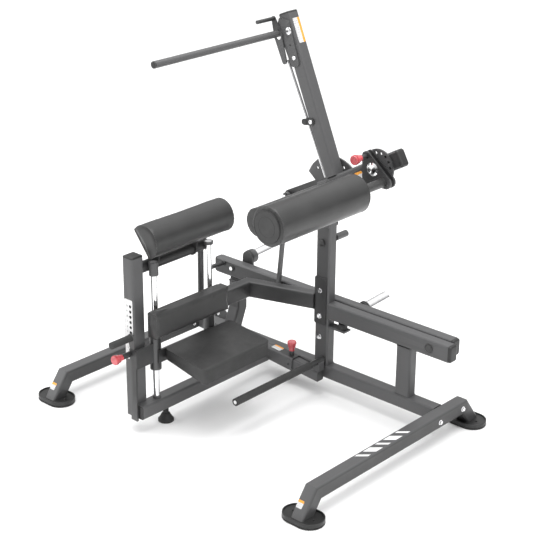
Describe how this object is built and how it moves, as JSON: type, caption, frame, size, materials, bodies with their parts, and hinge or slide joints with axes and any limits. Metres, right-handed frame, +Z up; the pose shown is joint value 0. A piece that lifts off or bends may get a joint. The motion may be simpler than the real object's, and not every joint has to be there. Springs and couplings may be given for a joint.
{
  "type": "standing abdominal exercise machine",
  "caption": "Plate-loaded standing abdominal machine: rocking roller arm linked to a weight lever, with a height-adjustable step, shin pad and torso pad.",
  "frame": {"origin": "middle of the footprint on the floor, below the centre of the whole machine's box", "axes": "+Z up, +X towards the front stabiliser that carries the lever pivot, +Y towards the weight horns; the user stands on the -Y side"},
  "size_m": [1.6096, 1.379, 1.6699],
  "materials": {
    "painted_frame": "satin dark grey powder coat",
    "chrome": "polished chrome",
    "upholstery": "black grained vinyl over foam",
    "black_plastic": "moulded black plastic",
    "black_rubber": "black rubber",
    "red_knob": "anodised red pull knob",
    "step_surface": "finely textured black tread",
    "pad_board": "black stained plywood backing",
    "dark_steel": "blackened steel"
  },
  "bodies": {
    "frame": {"base_beam": "painted_frame", "column": "painted_frame", "foot_shells": "black_plastic", "foot_soles": "black_rubber", "frame_bolts": "chrome", "frame_caps": "black_plastic", "front_beam": "painted_frame", "front_post": "painted_frame", "front_stabiliser": "painted_frame", "guide_rods": "chrome", "lever_pivot_axle": "dark_steel", "low_cross_tube": "painted_frame", "mast_cross_tube": "painted_frame", "mast_post": "painted_frame", "pivot_axle": "dark_steel", "plate_bolts": "chrome", "rail_sleeve": "painted_frame", "rear_brace": "painted_frame", "rear_stabiliser": "painted_frame", "rod_sockets": "painted_frame", "rubber_stops": "black_rubber", "side_plate": "painted_frame", "stop_post": "painted_frame", "torso_pad": "upholstery", "torso_pad_board": "pad_board"},
    "foot_rail": {"foot_rail": "painted_frame", "foot_bar": "dark_steel", "foot_bar_grip": "black_rubber"},
    "rail_pin": {"rail_pin": "red_knob"},
    "carriage": {"carriage_frame": "painted_frame", "carriage_grip": "black_rubber", "shin_pad": "upholstery", "shin_pad_board": "pad_board", "step_plate": "step_surface"},
    "carriage_pin": {"carriage_pin": "red_knob"},
    "leveling_foot": {"leveling_foot": "black_rubber"},
    "sector": {"sector_plate": "painted_frame"},
    "link": {"link_rod": "painted_frame"},
    "user_arm": {"boom": "painted_frame", "boom_bush": "dark_steel", "tall_arm": "painted_frame", "arm_caps": "black_plastic", "handle_bracket": "painted_frame", "handle_bar": "painted_frame", "latch_guide": "black_plastic"},
    "latch": {"latch_lever": "painted_frame", "latch_rod": "chrome"},
    "roller_bracket": {"roller_bracket": "painted_frame", "hub_cap": "chrome", "roller_bars": "dark_steel"},
    "roller_pin": {"roller_pin": "red_knob"},
    "front_roller": {"front_roller": "upholstery", "front_roller_ends": "black_plastic"},
    "rear_roller": {"rear_roller": "upholstery"},
    "weight_lever": {"weight_lever": "painted_frame", "weight_horns": "chrome", "lever_caps": "black_plastic", "band_peg": "painted_frame"}
  },
  "joints": [
    {"name": "sector_swing", "type": "hinge", "parent": "frame", "child": "sector", "pos_m": [0.073, 0.30945, 0.923], "axis": [0, 1, 0], "range_deg": [0, 40]},
    {"name": "arm_start_angle", "type": "hinge", "parent": "sector", "child": "user_arm", "pos_m": [0.073, 0.27445, 0.923], "axis": [0, 1, 0], "range_deg": [-12, 24]},
    {"name": "roller_tilt", "type": "hinge", "parent": "user_arm", "child": "roller_bracket", "pos_m": [0.3533, 0.27445, 1.1094], "axis": [0, 1, 0], "range_deg": [-24, 48]},
    {"name": "front_roller_spin", "type": "hinge", "parent": "roller_bracket", "child": "front_roller", "pos_m": [0.408, -0.12555, 1.066], "axis": [0, 1, 0], "continuous": true},
    {"name": "rear_roller_spin", "type": "hinge", "parent": "roller_bracket", "child": "rear_roller", "pos_m": [0.269, -0.12555, 1.02], "axis": [0, 1, 0], "continuous": true},
    {"name": "roller_pin_pull", "type": "slide", "parent": "roller_bracket", "child": "roller_pin", "axis": [0, -1, 0], "range_m": [0, 0.018], "stiffness_N_per_m": 600},
    {"name": "latch_pull", "type": "slide", "parent": "user_arm", "child": "latch", "axis": [-0.4289, 0, 0.9033], "range_m": [0, 0.012], "stiffness_N_per_m": 300},
    {"name": "weight_lever_swing", "type": "hinge", "parent": "frame", "child": "weight_lever", "pos_m": [0.644, 0.33345, 0.3905], "axis": [0, 1, 0], "range_deg": [0, 12]},
    {"name": "link_swing", "type": "hinge", "parent": "sector", "child": "link", "pos_m": [-0.18, 0.29145, 0.842], "axis": [0, 1, 0], "range_deg": [-42.56, 0]},
    {"name": "carriage_lift", "type": "slide", "parent": "frame", "child": "carriage", "axis": [0, 0, 1], "range_m": [0, 0.186]},
    {"name": "carriage_pin_pull", "type": "slide", "parent": "carriage", "child": "carriage_pin", "axis": [0, -1, 0], "range_m": [0, 0.018], "stiffness_N_per_m": 600},
    {"name": "foot_rail_slide", "type": "slide", "parent": "frame", "child": "foot_rail", "axis": [0.9962, 0, -0.0872], "range_m": [0, 0.1]},
    {"name": "rail_pin_pull", "type": "slide", "parent": "frame", "child": "rail_pin", "axis": [0, 0, 1], "range_m": [0, 0.018], "stiffness_N_per_m": 600},
    {"name": "leveling_screw", "type": "slide", "parent": "frame", "child": "leveling_foot", "axis": [0, 0, 1], "range_m": [0, 0.012]}
  ],
  "couplings": [
    {"joint": "weight_lever_swing", "follows": "sector_swing", "ratio": 0.3},
    {"joint": "link_swing", "follows": "sector_swing", "ratio": -1.064}
  ]
}
